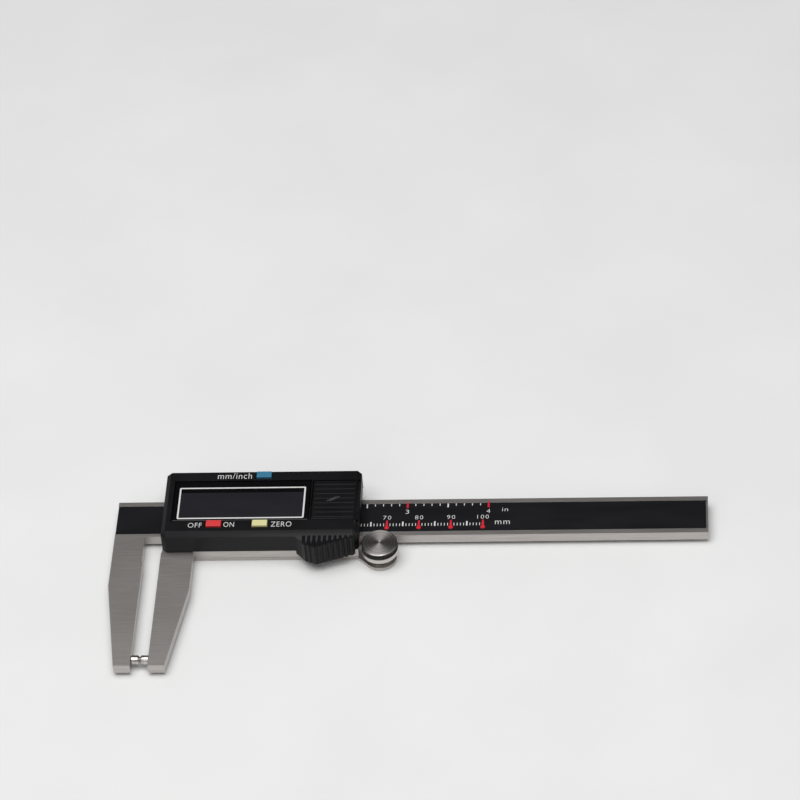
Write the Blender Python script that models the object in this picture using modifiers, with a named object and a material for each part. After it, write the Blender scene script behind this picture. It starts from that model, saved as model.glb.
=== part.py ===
"""Digital caliper with long plain jaws and round contact pins, 0 to 100 mm, lying on its back and closed.

Beam coordinates are used throughout: X runs along the beam from its zero mark, Y runs across the beam away
from the jaws, and Z rises from the beam's front face. An empty then carries the whole assembly so that the
world origin lies under the middle of its box.
"""

import math

import bmesh
import bpy
from mathutils import Matrix

MM = 0.001

# Fits
CLEAR = 0.3 * MM  # between neighbours that touch or slide
SNUG = 0.15 * MM  # round a screw, a pin or a thin strip
REACH = 5 * MM  # how far a cutter runs past the wall that it cuts

# Beam, with the fixed jaw in one piece
TRAVEL = 100 * MM
JAW_GAP = 5.45 * MM
FIXED_JAW_WIDTH = 9.75 * MM
BEAM_LEFT = -(JAW_GAP + FIXED_JAW_WIDTH)
BEAM_WIDTH = 15.6 * MM
BEAM_EDGE = BEAM_WIDTH / 2
BEAM_THICKNESS = 3.2 * MM
BEAM_BACK = -BEAM_THICKNESS
BEAM_MIDDLE = BEAM_BACK / 2
STEEL_MARGIN = 1.75 * MM
GROOVE_EDGE = BEAM_EDGE - STEEL_MARGIN
GROOVE_DEPTH = 1.0 * MM
GROOVE_END_WALL = 0.6 * MM
UNDERCUT = 0.5 * MM
UNDERCUT_LENGTH = 6.5 * MM

# Strips laid in the beam's groove
STRIP_GAP = 0.1 * MM
STATOR_THICKNESS = 0.35 * MM
LABEL_THICKNESS = 0.35 * MM

# Jaws, measured down from the beam's lower edge
JAW_REACH = 53.6 * MM
JAW_TIP = -(BEAM_EDGE + JAW_REACH)
JAW_TIP_WIDTH = 5.1 * MM
MOVING_JAW_WIDTH = 10.1 * MM
FIXED_TAPER_START = 20.3 * MM
MOVING_TAPER_START = 22.3 * MM
ROOT_STEP = 0.3 * MM
FIXED_ROOT_LENGTH = 9.9 * MM
MOVING_ROOT_LENGTH = 6.2 * MM

# Contact pins
PIN_DIAMETER = 2.8 * MM
PIN_SHANK = 1.4 * MM
PIN_SHANK_LENGTH = 3.0 * MM
PIN_SETBACK = 3.8 * MM
PIN_TAPER = 0.5 * MM
PIN_MEETING_GAP = 0.1 * MM

# Housing
HOUSING_LEFT = 0.4 * MM
HOUSING_LENGTH = 61.5 * MM
HOUSING_RIGHT = HOUSING_LEFT + HOUSING_LENGTH
HOUSING_EDGE = 14.2 * MM
HOUSING_TOP = 8.0 * MM
HOUSING_BOTTOM = CLEAR
HOUSING_WALL = 1.3 * MM
HOUSING_FACE = 1.8 * MM
HOUSING_CHAMFER = 1.4 * MM
HOUSING_INSIDE = HOUSING_EDGE - HOUSING_WALL
FACE_UNDERSIDE = HOUSING_TOP - HOUSING_FACE

# Slider frame
FRAME_INSET = 0.6 * MM
FRAME_END_INSET = 0.3 * MM
FRAME_LENGTH = HOUSING_RIGHT - FRAME_END_INSET
FRAME_EDGE = HOUSING_EDGE - FRAME_INSET
BRIDGE_INSET = 0.4 * MM
BRIDGE_EDGE = HOUSING_INSIDE - BRIDGE_INSET
BRIDGE_THICKNESS = 1.0 * MM
BRIDGE_TOP = CLEAR + BRIDGE_THICKNESS
LEFT_BRIDGE = 3.6 * MM
RIGHT_BRIDGE = 1.8 * MM
BRIDGE_SETBACK = 0.2 * MM
GIB_THICKNESS = 1.2 * MM
GIB_INSET = 1.5 * MM
GIB_INNER = BEAM_EDGE + CLEAR
GIB_OUTER = GIB_INNER + GIB_THICKNESS
UPPER_RAIL = GIB_OUTER + CLEAR

# Back plate, which also carries the thumb roller
PLATE_THICKNESS = 1.2 * MM
PLATE_INSET = 0.5 * MM
PLATE_SIDE_INSET = 0.2 * MM
PLATE_EDGE = FRAME_EDGE - PLATE_SIDE_INSET
PLATE_TOP = BEAM_BACK - CLEAR
PLATE_BOTTOM = PLATE_TOP - PLATE_THICKNESS
PLATE_RIGHT = FRAME_LENGTH - PLATE_INSET

# Thumb rest under the housing's lower side
REST_INSET = 1.2 * MM
REST_LENGTH = 18.4 * MM
REST_RIGHT = HOUSING_RIGHT - REST_INSET
REST_LEFT = REST_RIGHT - REST_LENGTH
REST_PEAK_X = REST_LEFT + 6.5 * MM
REST_PEAK_OUT = 4.7 * MM
REST_SHOULDER_X = REST_LEFT + 3.25 * MM
REST_SHOULDER_OUT = 3.5 * MM
REST_BOTTOM = -1.0 * MM
REST_TOP = HOUSING_TOP - HOUSING_CHAMFER

# Battery cover
COVER_LENGTH = 14.8 * MM
COVER_LEFT = HOUSING_RIGHT - COVER_LENGTH
COVER_WIDTH = 16.5 * MM
COVER_EDGE = COVER_WIDTH / 2
COVER_THICKNESS = 1.2 * MM
COVER_BOTTOM = HOUSING_TOP - COVER_THICKNESS
TONGUE_WIDTH = 0.8 * MM
TONGUE_THICKNESS = 0.4 * MM

# Display window and what lies under it
WINDOW_LEFT = 3.6 * MM
WINDOW_TO_COVER = 0.9 * MM
WINDOW_LENGTH = COVER_LEFT - WINDOW_TO_COVER - WINDOW_LEFT
WINDOW_WIDTH = 16.9 * MM
WINDOW_Y = 0.35 * MM
WINDOW_THICKNESS = 1.0 * MM
WINDOW_SUNK = 0.1 * MM
WINDOW_RIM = 1.9 * MM
LCD_Y = -0.6 * MM
LCD_LENGTH = WINDOW_LENGTH - 3.6 * MM
LCD_WIDTH = 13.0 * MM
LCD_THICKNESS = 1.6 * MM
LCD_X = WINDOW_LEFT + WINDOW_LENGTH / 2
LCD_TOP = FACE_UNDERSIDE - CLEAR
CARRIER_WALL = 0.7 * MM
CARRIER_EDGE = LCD_WIDTH / 2 + CLEAR + CARRIER_WALL
CARRIER_ABOVE_BOARD = 1.1 * MM
ZEBRA_WIDTH = 1.6 * MM

# Circuit board
BOARD_BOTTOM = 0.4 * MM
BOARD_THICKNESS = 1.0 * MM
BOARD_TOP = BOARD_BOTTOM + BOARD_THICKNESS
BOARD_INSET = 0.5 * MM
BOARD_EDGE = HOUSING_INSIDE - BOARD_INSET
BOARD_LEFT = 4.3 * MM
BOARD_RIGHT = COVER_LEFT - HOUSING_WALL - CLEAR
CHIP_SIZE = 6.0 * MM
CHIP_HEIGHT = 0.9 * MM

# Battery and its contacts
CELL_DIAMETER = 11.6 * MM
CELL_X = COVER_LEFT + CLEAR + CELL_DIAMETER / 2
CELL_CAP = 0.5 * MM
CONTACT_THICKNESS = 0.2 * MM
CONTACT_WIDTH = 3.0 * MM
CONTACT_FOOT = 2.0 * MM
BAY_FLOOR = 0.8 * MM
CELL_BOTTOM = BAY_FLOOR + CONTACT_THICKNESS + 2 * SNUG
CELL_HEIGHT = COVER_BOTTOM - CLEAR - CELL_BOTTOM
ROOM_RIGHT = COVER_LEFT - HOUSING_WALL

# Buttons
BUTTON_LENGTH = 4.8 * MM
BUTTON_WIDTH = 2.45 * MM
BUTTON_PROUD = 0.5 * MM
BUTTON_TRAVEL = 0.4 * MM
BUTTON_FLANGE = 0.6 * MM
BUTTON_ROUND = 0.2 * MM
PAD_HEIGHT = 1.7 * MM
FLANGE_THICKNESS = 0.5 * MM
ROW_GAP = 0.4 * MM
UPPER_ROW = HOUSING_INSIDE - CLEAR - BUTTON_WIDTH / 2
LOWER_ROW = LCD_Y - CARRIER_EDGE - ROW_GAP - BUTTON_WIDTH / 2
BUTTON_PLACES = {
    "unit": (31.25 * MM, UPPER_ROW),
    "power": (16.85 * MM, LOWER_ROW),
    "zero": (31.25 * MM, LOWER_ROW),
}

# Small screws
SCREW_HEAD = 2.6 * MM
SCREW_HEAD_HEIGHT = 0.6 * MM
SCREW_SHANK = 1.3 * MM
SCREW_ROW = (UPPER_RAIL + FRAME_EDGE) / 2
SLOT_WIDTH = 0.4 * MM
PLATE_SCREW_LENGTH = 2.6 * MM
PLATE_SCREW_INSET = 8.0 * MM
HOUSING_SCREW_LENGTH = 6.6 * MM
HOUSING_SCREW_INSET = 2.2 * MM
HEAD_POCKET = SCREW_HEAD_HEIGHT + 2 * SNUG
BOSS_WALL = 2.0 * MM
BOSS_EDGE = SCREW_ROW - BOSS_WALL

# Screws in the upper rail
SET_SCREW_DIAMETER = 1.6 * MM
SET_SCREW_INSET = 12.0 * MM
LOCK_X = FRAME_LENGTH / 2
LOCK_THREAD = 2.4 * MM
LOCK_HEAD = 5.4 * MM
LOCK_HEAD_LENGTH = 3.5 * MM
LOCK_FLUTES = 18

# Thumb roller
ROLLER_DIAMETER = 11.3 * MM
ROLLER_GAP = 0.8 * MM
ROLLER_NIP = 0.1 * MM
ROLLER_TOP = 3.0 * MM
ROLLER_THICKNESS = 4.0 * MM
ROLLER_BOTTOM = ROLLER_TOP - ROLLER_THICKNESS
ROLLER_CHAMFER = 0.35 * MM
ROLLER_BORE = 2.5 * MM
ROLLER_BORE_ROOF = 1.4 * MM
ROLLER_BAND = 1.8 * MM
ROLLER_GROOVE = 0.25 * MM
AXLE_DIAMETER = 1.9 * MM
LOBE_RADIUS = 5.0 * MM
ROLLER_RADIUS = ROLLER_DIAMETER / 2
ROLLER_X = HOUSING_RIGHT + ROLLER_GAP + ROLLER_RADIUS
ROLLER_Y = -(BEAM_EDGE + ROLLER_NIP + ROLLER_RADIUS)
HUB_DIAMETER = 6.0 * MM
HUB_BOTTOM = PLATE_TOP + 2 * CLEAR

# End stop on the beam's back, a little short of the beam's end
STOP_GAP = 1.0 * MM
STOP_LENGTH = 5.4 * MM
STOP_WIDTH = 8.0 * MM
STOP_THICKNESS = 1.1 * MM
STOP_SCREW_LENGTH = 1.4 * MM
STOP_LEFT = PLATE_RIGHT + TRAVEL + STOP_GAP
STOP_TO_END = 2.5 * MM
BEAM_RIGHT = STOP_LEFT + STOP_LENGTH + STOP_TO_END
STOP_TOP = BEAM_BACK - SNUG
STOP_BOTTOM = STOP_TOP - STOP_THICKNESS

ROUND_STEPS = 48
SCREW_STEPS = 20

# The middle of the assembly's box, in beam coordinates, and its underside
LOCK_END = HOUSING_EDGE + CLEAR + LOCK_HEAD_LENGTH
MIDDLE_X = (BEAM_LEFT + BEAM_RIGHT) / 2
MIDDLE_Y = (JAW_TIP + LOCK_END) / 2

for old in list(bpy.data.objects):
    bpy.data.objects.remove(old)

PARTS = bpy.data.collections.new("digital_caliper")
CUTTERS = bpy.data.collections.new("cutters")
bpy.context.scene.collection.children.link(PARTS)
bpy.context.scene.collection.children.link(CUTTERS)


# Materials


def finish(name, colour, roughness, metallic=0.0):
    made = bpy.data.materials.new(name)
    made.use_nodes = True
    made.diffuse_color = (*colour, 1.0)
    shader = made.node_tree.nodes["Principled BSDF"]
    shader.inputs["Base Color"].default_value = (*colour, 1.0)
    shader.inputs["Roughness"].default_value = roughness
    shader.inputs["Metallic"].default_value = metallic
    return made


GROUND_STEEL = finish("ground_steel", (0.42, 0.40, 0.38), 0.35, 1.0)
TURNED_STEEL = finish("turned_steel", (0.60, 0.58, 0.55), 0.25, 1.0)
SCREW_STEEL = finish("screw_steel", (0.35, 0.34, 0.33), 0.35, 1.0)
BRONZE = finish("bronze", (0.50, 0.33, 0.14), 0.40, 1.0)
GOLD_PLATE = finish("gold_plate", (0.75, 0.58, 0.25), 0.30, 1.0)
BLACK_PLASTIC = finish("black_plastic", (0.012, 0.012, 0.014), 0.50)
WINDOW_PLASTIC = finish("window_plastic", (0.010, 0.010, 0.013), 0.10)
LABEL_FILM = finish("label_film", (0.010, 0.010, 0.012), 0.40)
BOARD_GREEN = finish("board_green", (0.02, 0.12, 0.05), 0.45)
CHIP_BLACK = finish("chip_black", (0.015, 0.015, 0.015), 0.35)
LCD_GREY = finish("lcd_grey", (0.05, 0.055, 0.05), 0.15)
CARRIER_WHITE = finish("carrier_white", (0.60, 0.60, 0.58), 0.50)
RUBBER_GREY = finish("rubber_grey", (0.10, 0.10, 0.11), 0.80)
BUTTON_COLOURS = {
    "unit": finish("blue_plastic", (0.01, 0.12, 0.19), 0.40),
    "power": finish("red_plastic", (0.60, 0.01, 0.01), 0.40),
    "zero": finish("yellow_plastic", (0.62, 0.56, 0.20), 0.40),
}


# Making and joining shapes


def place(name, mesh, look, group):
    made = bpy.data.objects.new(name, mesh)
    group.objects.link(made)
    if look:
        mesh.materials.append(look)
    return made


def from_bmesh(name, shape, look, group):
    mesh = bpy.data.meshes.new(name)
    shape.to_mesh(mesh)
    shape.free()
    return place(name, mesh, look, group)


def box(name, low, high, look=None, group=PARTS):
    """A box between two corners, with its origin at its middle."""
    shape = bmesh.new()
    size = [b - a for a, b in zip(low, high)]
    bmesh.ops.create_cube(shape, size=1.0, matrix=Matrix.Diagonal((*size, 1.0)))
    made = from_bmesh(name, shape, look, group)
    made.location = [(a + b) / 2 for a, b in zip(low, high)]
    return made


def plate(name, outline, bottom, top, look=None, group=PARTS):
    """A flat outline in X and Y, given thickness from bottom to top."""
    curve = bpy.data.curves.new(name, "CURVE")
    curve.dimensions = "2D"
    curve.fill_mode = "BOTH"
    curve.extrude = (top - bottom) / 2
    spline = curve.splines.new("POLY")
    spline.points.add(len(outline) - 1)
    for point, (x, y) in zip(spline.points, outline):
        point.co = (x, y, 0.0, 1.0)
    spline.use_cyclic_u = True
    flat = bpy.data.objects.new(name, curve)
    group.objects.link(flat)
    flat.location.z = (bottom + top) / 2
    return as_mesh(flat, look, group)


def as_mesh(flat, look, group):
    """The curve's shape as a welded mesh object in the curve's place."""
    name = flat.name
    bpy.context.view_layer.update()
    graph = bpy.context.evaluated_depsgraph_get()
    mesh = bpy.data.meshes.new_from_object(flat.evaluated_get(graph))
    shape = bmesh.new()
    shape.from_mesh(mesh)
    bmesh.ops.remove_doubles(shape, verts=shape.verts, dist=1e-6)
    bmesh.ops.recalc_face_normals(shape, faces=shape.faces)
    shape.to_mesh(mesh)
    shape.free()
    where = flat.matrix_world.copy()
    bpy.data.objects.remove(flat)
    made = place(name, mesh, look, group)
    made.matrix_world = where
    return made


def turned(name, profile, steps, look=None, group=PARTS):
    """A profile of (radius, height) points, from top to bottom, turned about Z."""
    mesh = bpy.data.meshes.new(name)
    points = [(radius, 0.0, height) for radius, height in profile]
    links = [(i, i + 1) for i in range(len(points) - 1)]
    mesh.from_pydata(points, links, [])
    made = place(name, mesh, look, group)
    lathe = made.modifiers.new("turn", "SCREW")
    lathe.axis = "Z"
    lathe.steps = steps
    lathe.render_steps = steps
    lathe.use_merge_vertices = True
    lathe.merge_threshold = 1e-6
    lathe.use_smooth_shade = True
    return made


def rod(name, radius, bottom, top, steps, look=None, group=PARTS):
    return turned(name, [(0, top), (radius, top), (radius, bottom), (0, bottom)], steps, look, group)


def combine(target, other, operation):
    other.hide_render = True
    other.display_type = "WIRE"
    change = target.modifiers.new(other.name, "BOOLEAN")
    change.operation = operation
    change.object = other
    change.solver = "EXACT"


def cut(target, other):
    combine(target, other, "DIFFERENCE")


def join(target, other):
    combine(target, other, "UNION")


def along_y(made, x, y, z):
    """Turns a piece made about Z so that its top points to +Y."""
    made.rotation_euler = (-math.pi / 2, 0, 0)
    made.location = (x, y, z)
    return made


def along_x(made, x, y, z, facing):
    """Turns a piece made about Z so that its top points to +X, or to -X where facing is -1."""
    made.rotation_euler = (0, facing * math.pi / 2, 0)
    made.location = (x, y, z)
    return made


# Beam and what is fixed to it


def jaw_outline(inner, outer, root_top, root_bottom, taper_start):
    """A jaw's outline from its inner edge round its tip to its outer edge, with the root stepped back."""
    side = 1 if outer > inner else -1
    tip_outer = inner + side * JAW_TIP_WIDTH
    root_inner = inner + side * ROOT_STEP
    return [
        (root_inner, root_top),
        (root_inner, root_bottom),
        (inner, root_bottom - ROOT_STEP),
        (inner, JAW_TIP),
        (tip_outer, JAW_TIP),
        (outer, -(BEAM_EDGE + taper_start)),
        (outer, root_top),
    ]


def pin_hole(name, jaw, edge, side):
    """A blind hole for a contact pin's shank, from the jaw's inner edge into the jaw."""
    depth = PIN_SHANK_LENGTH + CLEAR
    hole = rod(name, PIN_SHANK / 2 + SNUG, -depth, REACH, SCREW_STEPS, None, CUTTERS)
    along_x(hole, edge, JAW_TIP + PIN_SETBACK, BEAM_MIDDLE, -side)
    cut(jaw, hole)


def make_beam():
    root_bottom = -(BEAM_EDGE + FIXED_ROOT_LENGTH)
    jaw = jaw_outline(-JAW_GAP, BEAM_LEFT, 0, root_bottom, FIXED_TAPER_START)
    inner_root = jaw[0][0]
    outline = [
        (BEAM_LEFT, BEAM_EDGE),
        (BEAM_RIGHT, BEAM_EDGE),
        (BEAM_RIGHT, -BEAM_EDGE),
        (inner_root + UNDERCUT_LENGTH, -BEAM_EDGE),
        (inner_root + UNDERCUT_LENGTH, UNDERCUT - BEAM_EDGE),
        (inner_root, UNDERCUT - BEAM_EDGE),
        *jaw[1:-1],
    ]
    beam = plate("beam", outline, BEAM_BACK, 0, GROUND_STEEL)
    groove = box(
        "groove_cutter",
        (BEAM_LEFT - REACH, -GROOVE_EDGE, -GROOVE_DEPTH),
        (BEAM_RIGHT - GROOVE_END_WALL, GROOVE_EDGE, REACH),
        None,
        CUTTERS,
    )
    cut(beam, groove)
    pin_hole("fixed_pin_hole", beam, -JAW_GAP, -1)
    stop_hole = rod(
        "stop_screw_hole", SCREW_SHANK / 2 + SNUG, BEAM_BACK - REACH, stop_screw_tip() + SNUG,
        SCREW_STEPS, None, CUTTERS,
    )
    stop_hole.location = (stop_centre(), 0, 0)
    cut(beam, stop_hole)
    return beam


def make_groove_strips():
    """The stator's copper strip on the floor of the groove, and the printed scale over it."""
    left = BEAM_LEFT + STRIP_GAP
    right = BEAM_RIGHT - GROOVE_END_WALL - STRIP_GAP
    edge = GROOVE_EDGE - STRIP_GAP
    stator_bottom = STRIP_GAP - GROOVE_DEPTH
    stator_top = stator_bottom + STATOR_THICKNESS
    label_bottom = stator_top + STRIP_GAP
    label_top = label_bottom + LABEL_THICKNESS
    stator = box("stator_strip", (left, -edge, stator_bottom), (right, edge, stator_top), GOLD_PLATE)
    label = box("scale_label", (left, -edge, label_bottom), (right, edge, label_top), LABEL_FILM)
    return [stator, label]


def make_contact_pin(name, edge, side):
    """A pin whose shank is pressed into the jaw and whose tapered head meets the other pin."""
    head = (JAW_GAP - PIN_MEETING_GAP) / 2
    profile = [
        (0, head),
        (PIN_DIAMETER / 2 - PIN_TAPER, head),
        (PIN_DIAMETER / 2, head - PIN_TAPER),
        (PIN_DIAMETER / 2, SNUG),
        (PIN_SHANK / 2, SNUG),
        (PIN_SHANK / 2, -PIN_SHANK_LENGTH),
        (0, -PIN_SHANK_LENGTH),
    ]
    pin = turned(name, profile, ROUND_STEPS // 2, TURNED_STEEL)
    return along_x(pin, edge, JAW_TIP + PIN_SETBACK, BEAM_MIDDLE, -side)


def stop_centre():
    return STOP_LEFT + STOP_LENGTH / 2


def stop_screw_tip():
    return STOP_BOTTOM + SNUG + STOP_SCREW_LENGTH + SCREW_HEAD_HEIGHT


def make_end_stop():
    """A small plate on the beam's back that the slider's back plate meets, and the screw that holds it."""
    stop = box(
        "end_stop",
        (STOP_LEFT, -STOP_WIDTH / 2, STOP_BOTTOM),
        (STOP_LEFT + STOP_LENGTH, STOP_WIDTH / 2, STOP_TOP),
        GROUND_STEEL,
    )
    screw_hole(stop, "stop_plate_hole", stop_centre(), 0, STOP_BOTTOM, HEAD_POCKET)
    screw = make_screw("end_stop_screw", STOP_SCREW_LENGTH)
    screw.location = (stop_centre(), 0, STOP_BOTTOM + SNUG)
    return [stop, screw]


# Screws


def make_screw(name, shank_length):
    """A slotted screw standing on its head, so that its tip points up. Its origin is at the head's face."""
    tip = SCREW_HEAD_HEIGHT + shank_length
    profile = [
        (0, tip),
        (SCREW_SHANK / 2 - SNUG, tip),
        (SCREW_SHANK / 2, tip - SNUG),
        (SCREW_SHANK / 2, SCREW_HEAD_HEIGHT),
        (SCREW_HEAD / 2, SCREW_HEAD_HEIGHT),
        (SCREW_HEAD / 2, 0),
        (0, 0),
    ]
    screw = turned(name, profile, SCREW_STEPS, SCREW_STEEL)
    slot = box(
        name + "_slot",
        (-SCREW_HEAD, -SLOT_WIDTH / 2, -REACH),
        (SCREW_HEAD, SLOT_WIDTH / 2, SCREW_HEAD_HEIGHT / 2),
        None,
        CUTTERS,
    )
    slot.parent = screw
    cut(screw, slot)
    return screw


def screw_hole(target, name, x, y, face, sunk):
    """A hole right through the target, with a pocket for the screw's head in the target's lower face."""
    shank = SCREW_SHANK / 2 + SNUG
    head = SCREW_HEAD / 2 + SNUG
    profile = [
        (0, face + 2 * REACH),
        (shank, face + 2 * REACH),
        (shank, face + sunk),
        (head, face + sunk),
        (head, face - REACH),
        (0, face - REACH),
    ]
    cutter = turned(name, profile, SCREW_STEPS, None, CUTTERS)
    cutter.location = (x, y, 0)
    cut(target, cutter)


def blind_hole(target, name, x, y, bottom, top):
    cutter = rod(name, SCREW_SHANK / 2 + SNUG, bottom, top, SCREW_STEPS, None, CUTTERS)
    cutter.location = (x, y, 0)
    cut(target, cutter)


def plate_screw_places():
    for x in (PLATE_SCREW_INSET, FRAME_LENGTH - PLATE_SCREW_INSET):
        for y in (-SCREW_ROW, SCREW_ROW):
            yield x, y


def housing_screw_places():
    for x in (HOUSING_SCREW_INSET, FRAME_LENGTH - HOUSING_SCREW_INSET):
        for y in (-SCREW_ROW, SCREW_ROW):
            yield x, y


# Slider frame, gib, lock screw and back plate


def make_slider_frame():
    root_bottom = -(BEAM_EDGE + MOVING_ROOT_LENGTH)
    jaw = jaw_outline(0, MOVING_JAW_WIDTH, -(BEAM_EDGE + CLEAR), root_bottom, MOVING_TAPER_START)
    outline = [
        *jaw[:-1],
        (MOVING_JAW_WIDTH, -FRAME_EDGE),
        (FRAME_LENGTH, -FRAME_EDGE),
        (FRAME_LENGTH, -(BEAM_EDGE + CLEAR)),
    ]
    frame = plate("slider_frame", outline, BEAM_BACK, 0, GROUND_STEEL)
    upper_low = (ROOT_STEP, UPPER_RAIL, BEAM_BACK)
    upper = box("upper_rail", upper_low, (FRAME_LENGTH, FRAME_EDGE, 0), None, CUTTERS)
    ends = (
        ("left_bridge", ROOT_STEP + BRIDGE_SETBACK, LEFT_BRIDGE),
        ("right_bridge", FRAME_LENGTH - RIGHT_BRIDGE, FRAME_LENGTH - BRIDGE_SETBACK),
    )
    for name, left, right in ends:
        low = (left, -BRIDGE_EDGE, BEAM_MIDDLE)
        bridge = box(name, low, (right, BRIDGE_EDGE, BRIDGE_TOP), None, CUTTERS)
        channel = box(
            name + "_channel",
            (left - REACH, -(BEAM_EDGE + CLEAR), BEAM_BACK - REACH),
            (right + REACH, UPPER_RAIL, CLEAR),
            None,
            CUTTERS,
        )
        cut(bridge, channel)
        join(frame, bridge)
    join(frame, upper)
    pin_hole("moving_pin_hole", frame, 0, 1)
    for number, (x, y) in enumerate(housing_screw_places(), 1):
        screw_hole(frame, f"frame_hole_{number}", x, y, BEAM_BACK, HEAD_POCKET)
    for number, (x, y) in enumerate(plate_screw_places(), 1):
        tip = PLATE_BOTTOM + SNUG + SCREW_HEAD_HEIGHT + PLATE_SCREW_LENGTH
        blind_hole(frame, f"frame_tapping_{number}", x, y, BEAM_BACK - REACH, tip + SNUG)
    places = enumerate(set_screw_places(), 1)
    rail_holes = [(f"set_screw_hole_{number}", x, SET_SCREW_DIAMETER) for number, x in places]
    rail_holes.append(("lock_hole", LOCK_X, LOCK_THREAD))
    for name, x, diameter in rail_holes:
        hole = rod(name, diameter / 2 + SNUG, -REACH, 2 * REACH, SCREW_STEPS, None, CUTTERS)
        along_y(hole, x, UPPER_RAIL, BEAM_MIDDLE)
        cut(frame, hole)
    return frame


def set_screw_places():
    return SET_SCREW_INSET, FRAME_LENGTH - SET_SCREW_INSET


def make_gib():
    """The strip that takes up play along the beam's upper edge."""
    return box(
        "gib_strip",
        (GIB_INSET, GIB_INNER, BEAM_BACK + CLEAR),
        (FRAME_LENGTH - GIB_INSET, GIB_OUTER, -CLEAR),
        BRONZE,
    )


def make_set_screw(name, x):
    """A headless slotted screw in the upper rail, pressing on the gib."""
    length = FRAME_EDGE - CLEAR - GIB_OUTER - SNUG
    radius = SET_SCREW_DIAMETER / 2
    profile = [(0, length), (radius, length), (radius, SNUG), (radius - SNUG, 0), (0, 0)]
    screw = turned(name, profile, SCREW_STEPS, SCREW_STEEL)
    slot = box(
        name + "_slot",
        (-SET_SCREW_DIAMETER, -SLOT_WIDTH / 2, length - 2 * SLOT_WIDTH),
        (SET_SCREW_DIAMETER, SLOT_WIDTH / 2, length + REACH),
        None,
        CUTTERS,
    )
    slot.parent = screw
    cut(screw, slot)
    return along_y(screw, x, GIB_OUTER + SNUG, BEAM_MIDDLE)


def make_lock_screw():
    """The thumb screw that clamps the gib on the beam. Its origin is on its own axis at its tip."""
    head_start = HOUSING_EDGE + CLEAR - GIB_OUTER - SNUG
    head_end = head_start + LOCK_HEAD_LENGTH
    neck = LOCK_THREAD / 2
    head = LOCK_HEAD / 2
    profile = [
        (0, head_end),
        (head - CLEAR, head_end),
        (head, head_end - CLEAR),
        (head, head_start + CLEAR),
        (head - CLEAR, head_start),
        (neck, head_start),
        (neck, SNUG),
        (neck - SNUG, 0),
        (0, 0),
    ]
    screw = turned("lock_screw", profile, 2 * LOCK_FLUTES, TURNED_STEEL)
    return along_y(screw, LOCK_X, GIB_OUTER + SNUG, BEAM_MIDDLE)


def make_back_plate():
    """The plate that closes the channel behind the beam, with a lobe that carries the roller's axle."""
    lobe = [
        (
            ROLLER_X + LOBE_RADIUS * math.sin(math.radians(angle)),
            ROLLER_Y + LOBE_RADIUS * math.cos(math.radians(angle)),
        )
        for angle in range(0, 226, 15)
    ]
    outline = [
        (PLATE_INSET, PLATE_EDGE),
        (PLATE_RIGHT, PLATE_EDGE),
        (PLATE_RIGHT, lobe[0][1]),
        *lobe,
        (PLATE_RIGHT, -PLATE_EDGE),
        (MOVING_JAW_WIDTH, -PLATE_EDGE),
        (PLATE_INSET, -PLATE_EDGE),
    ]
    back = plate("back_plate", outline, PLATE_BOTTOM, PLATE_TOP, GROUND_STEEL)
    for number, (x, y) in enumerate(plate_screw_places(), 1):
        screw_hole(back, f"plate_hole_{number}", x, y, PLATE_BOTTOM, HEAD_POCKET)
    radius = AXLE_DIAMETER / 2 + SNUG
    axle_hole = rod("axle_hole", radius, PLATE_BOTTOM - REACH, PLATE_TOP + REACH, SCREW_STEPS, None, CUTTERS)
    axle_hole.location = (ROLLER_X, ROLLER_Y, 0)
    cut(back, axle_hole)
    return back


# Thumb roller


def make_roller():
    """A turned disc on a narrower hub. The band under its face is for the thumb, and the band below that
    rolls on the beam's lower edge."""
    waist = ROLLER_TOP - ROLLER_BAND
    outer = ROLLER_RADIUS
    hub = HUB_DIAMETER / 2
    bore = ROLLER_BORE / 2
    profile = [
        (0, ROLLER_TOP),
        (outer - ROLLER_CHAMFER, ROLLER_TOP),
        (outer, ROLLER_TOP - ROLLER_CHAMFER),
        (outer, waist),
        (outer - ROLLER_GROOVE, waist - ROLLER_GROOVE),
        (outer, waist - 2 * ROLLER_GROOVE),
        (outer, ROLLER_BOTTOM + ROLLER_CHAMFER),
        (outer - ROLLER_CHAMFER, ROLLER_BOTTOM),
        (hub, ROLLER_BOTTOM),
        (hub, HUB_BOTTOM),
        (bore, HUB_BOTTOM),
        (bore, ROLLER_BORE_ROOF),
        (0, ROLLER_BORE_ROOF),
    ]
    roller = turned("thumb_roller", profile, ROUND_STEPS, TURNED_STEEL)
    roller.location = (ROLLER_X, ROLLER_Y, 0)
    return roller


def make_axle():
    top = ROLLER_BORE_ROOF - CLEAR
    axle = rod("roller_axle", AXLE_DIAMETER / 2, PLATE_BOTTOM + SNUG, top, SCREW_STEPS, SCREW_STEEL)
    axle.location = (ROLLER_X, ROLLER_Y, 0)
    return axle


# Housing


def housing_block():
    """The outer form: a block with its upright corners and its front edges chamfered."""
    shape = bmesh.new()
    size = (HOUSING_LENGTH, 2 * HOUSING_EDGE, HOUSING_TOP - HOUSING_BOTTOM)
    bmesh.ops.create_cube(shape, size=1.0, matrix=Matrix.Diagonal((*size, 1.0)))
    upright = [e for e in shape.edges if abs(e.verts[0].co.z - e.verts[1].co.z) > MM]
    bmesh.ops.bevel(shape, geom=upright, offset=HOUSING_CHAMFER, segments=1, affect="EDGES", profile=0.5)
    front = [e for e in shape.edges if min(v.co.z for v in e.verts) > 0]
    bmesh.ops.bevel(shape, geom=front, offset=HOUSING_CHAMFER, segments=1, affect="EDGES", profile=0.5)
    block = from_bmesh("housing", shape, BLACK_PLASTIC, PARTS)
    block.location = (
        HOUSING_LEFT + HOUSING_LENGTH / 2,
        0,
        (HOUSING_TOP + HOUSING_BOTTOM) / 2,
    )
    return block


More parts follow.
